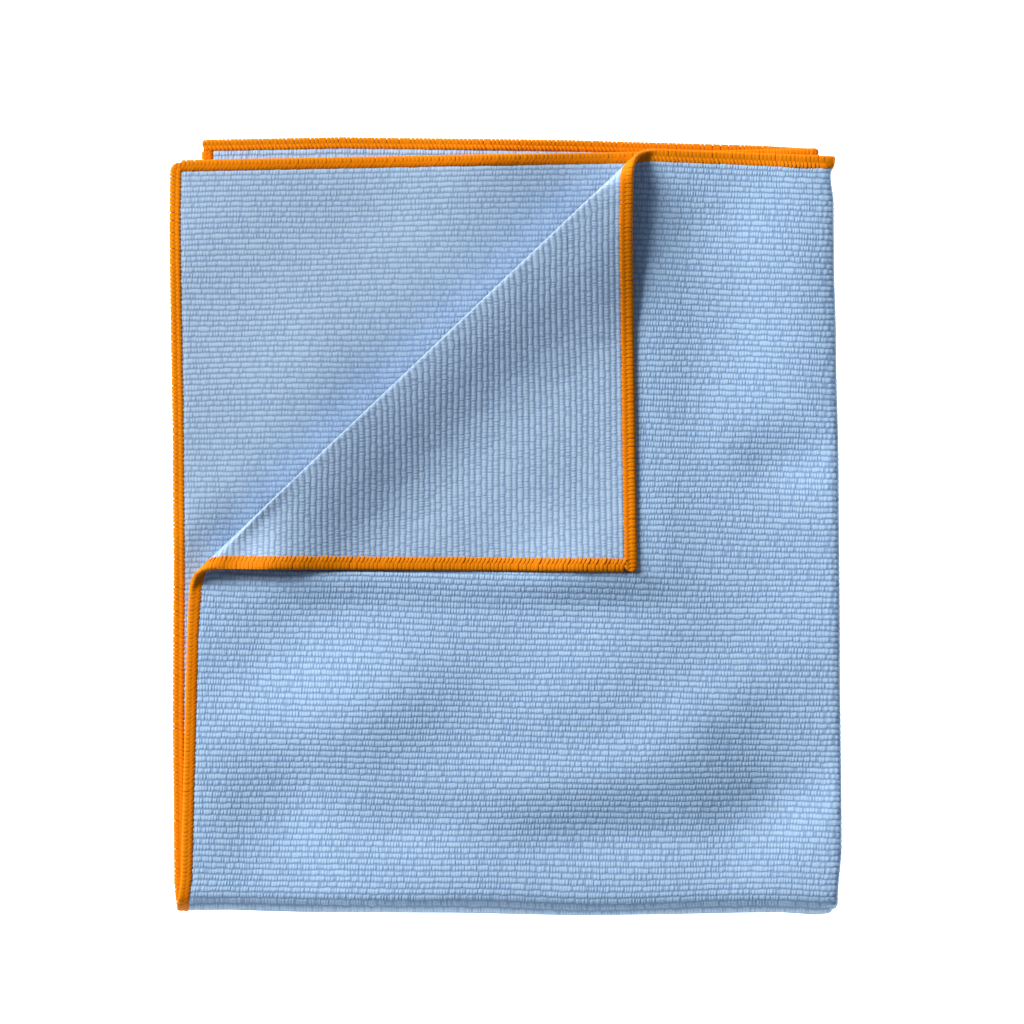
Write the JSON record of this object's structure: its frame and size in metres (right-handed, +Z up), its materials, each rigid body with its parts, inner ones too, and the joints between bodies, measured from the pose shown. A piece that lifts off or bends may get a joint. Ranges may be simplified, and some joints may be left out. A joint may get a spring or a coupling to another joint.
{
  "type": "folded microfibre cloth",
  "caption": "Ribbed microfibre cleaning cloth, folded flat into layers with its free top corner turned back over a diagonal crease and its edge overlocked.",
  "frame": {"origin": "middle of the folded cloth's outline, on the level surface it lies on", "axes": "+Z up from the surface, +Y from the folded bottom edge towards the open top edge, +X towards the folded right edge"},
  "size_m": [0.1797, 0.2085, 0.0139],
  "materials": {
    "microfibre": "soft blue ribbed pile, matt with a faint sheen",
    "overlock_thread": "orange polyester thread, slightly glossy"
  },
  "bodies": {
    "root": {"cloth": "microfibre", "edging": "overlock_thread"}
  },
  "joints": []
}
